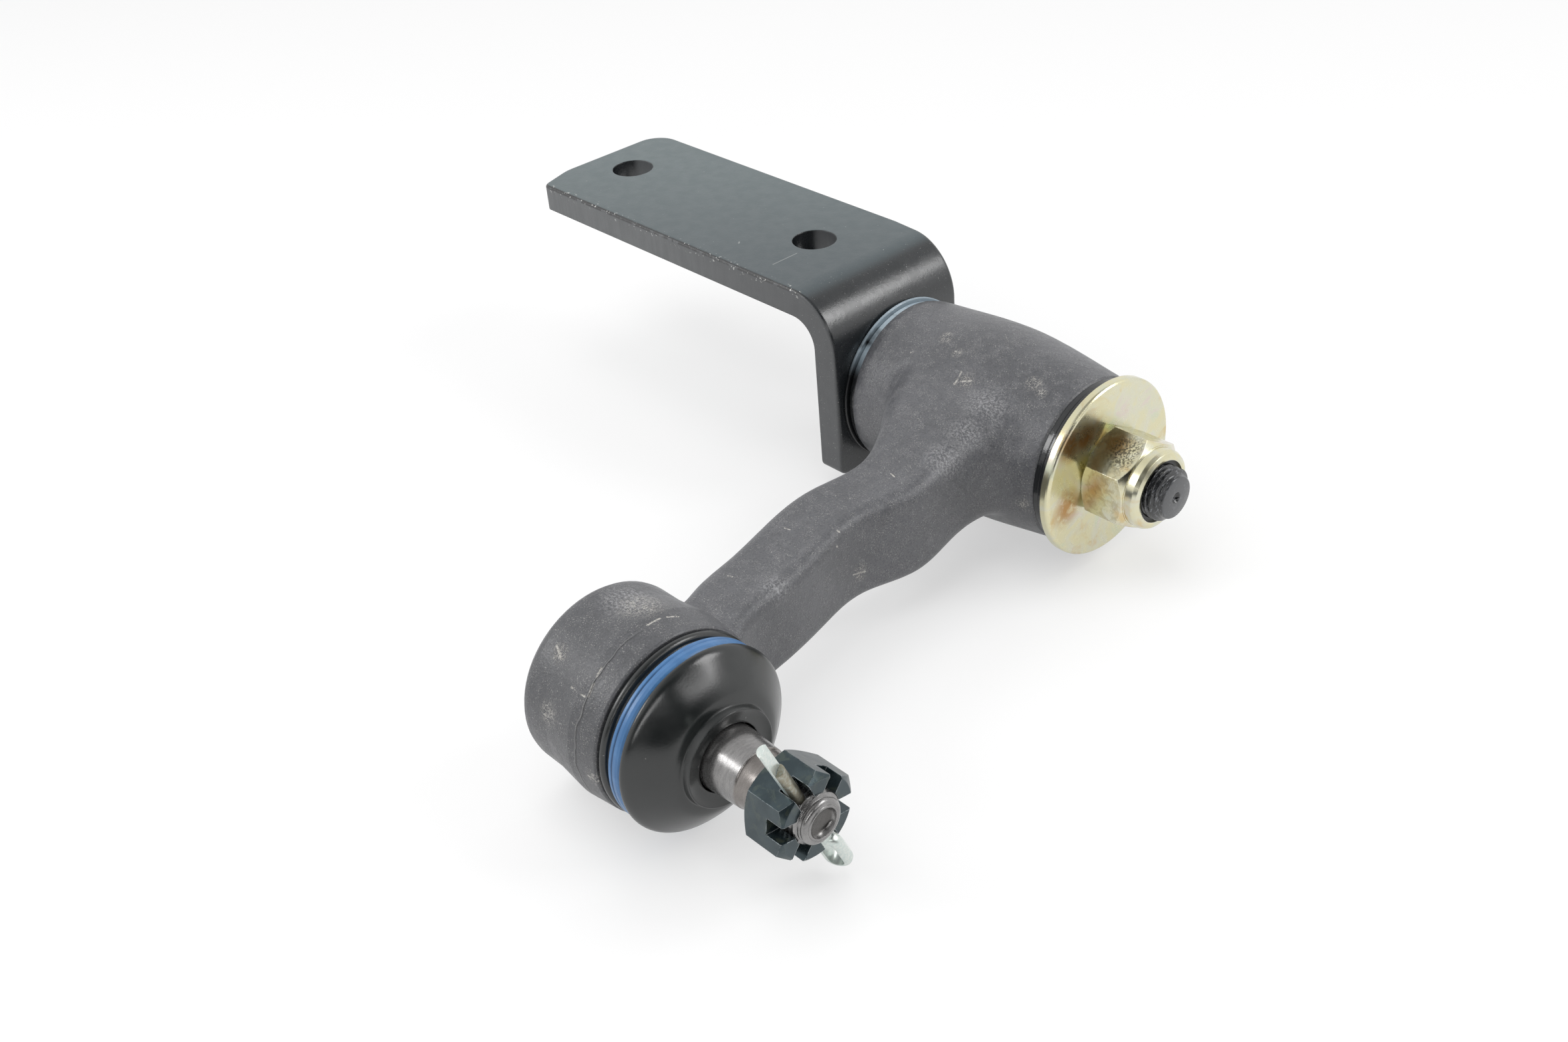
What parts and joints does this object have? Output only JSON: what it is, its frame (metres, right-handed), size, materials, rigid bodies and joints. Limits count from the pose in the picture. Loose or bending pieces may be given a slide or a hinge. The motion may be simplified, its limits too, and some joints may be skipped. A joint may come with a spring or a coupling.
{
  "type": "steering idler arm",
  "caption": "Steering idler arm: a bolt-on bent bracket, a forged swinging arm on a bushed pivot shaft, and a booted ball stud with a slotted nut and split pin.",
  "frame": {"origin": "middle of the two bolt holes, on the outer face of the bracket's plate", "axes": "+X along the pivot axis, from the plate towards the locking nut; +Z out of the plate's outer face; -Y towards the ball end"},
  "size_m": [0.238, 0.1824, 0.0574],
  "materials": {
    "bracket_paint": "semi-gloss black paint",
    "forging_phosphate": "blasted and phosphated forging, dull grey",
    "yellow_zinc": "yellow chromated zinc",
    "black_oxide_steel": "black oxide",
    "bright_steel": "bright turned steel",
    "pale_zinc": "pale zinc, slightly browned",
    "insert_nylon": "dark nylon",
    "bush_plastic": "black plastic, slightly glossy",
    "seat_plastic": "natural acetal",
    "spring_steel": "spring steel",
    "boot_rubber": "satin black rubber",
    "ring_blue": "mid-blue plastic",
    "shaft_steel": "blackened steel"
  },
  "bodies": {
    "bracket": {"bracket": "bracket_paint", "pivot_shaft": "shaft_steel", "thrust_washer": "bush_plastic", "pivot_washer": "yellow_zinc", "pivot_nut": "yellow_zinc", "nut_insert": "insert_nylon"},
    "arm": {"arm": "forging_phosphate", "rear_bush": "bush_plastic", "front_bush": "bush_plastic", "front_ring": "bush_plastic", "seat_cup": "seat_plastic", "seat_spring": "spring_steel", "end_cover": "forging_phosphate", "boot_ring": "ring_blue"},
    "seat": {"ball_seat": "seat_plastic"},
    "boot": {"dust_boot": "boot_rubber"},
    "stud": {"ball_stud": "bright_steel", "castle_nut": "black_oxide_steel", "cotter_pin": "pale_zinc"}
  },
  "joints": [
    {"name": "arm_swing", "type": "hinge", "parent": "bracket", "child": "arm", "pos_m": [0.0734, 0, -0.0315], "axis": [1, 0, 0], "range_deg": [-40, 40]},
    {"name": "seat_turn", "type": "hinge", "parent": "arm", "child": "seat", "pos_m": [0.1249, -0.1342, -0.0344], "axis": [1, 0, 0], "continuous": true},
    {"name": "stud_tilt", "type": "hinge", "parent": "seat", "child": "boot", "pos_m": [0.1249, -0.1342, -0.0344], "axis": [0, 0, 1], "range_deg": [-18, 18], "deforming": ["dust_boot"]},
    {"name": "stud_spin", "type": "hinge", "parent": "boot", "child": "stud", "pos_m": [0.1249, -0.1342, -0.0344], "axis": [1, 0, 0], "continuous": true}
  ]
}
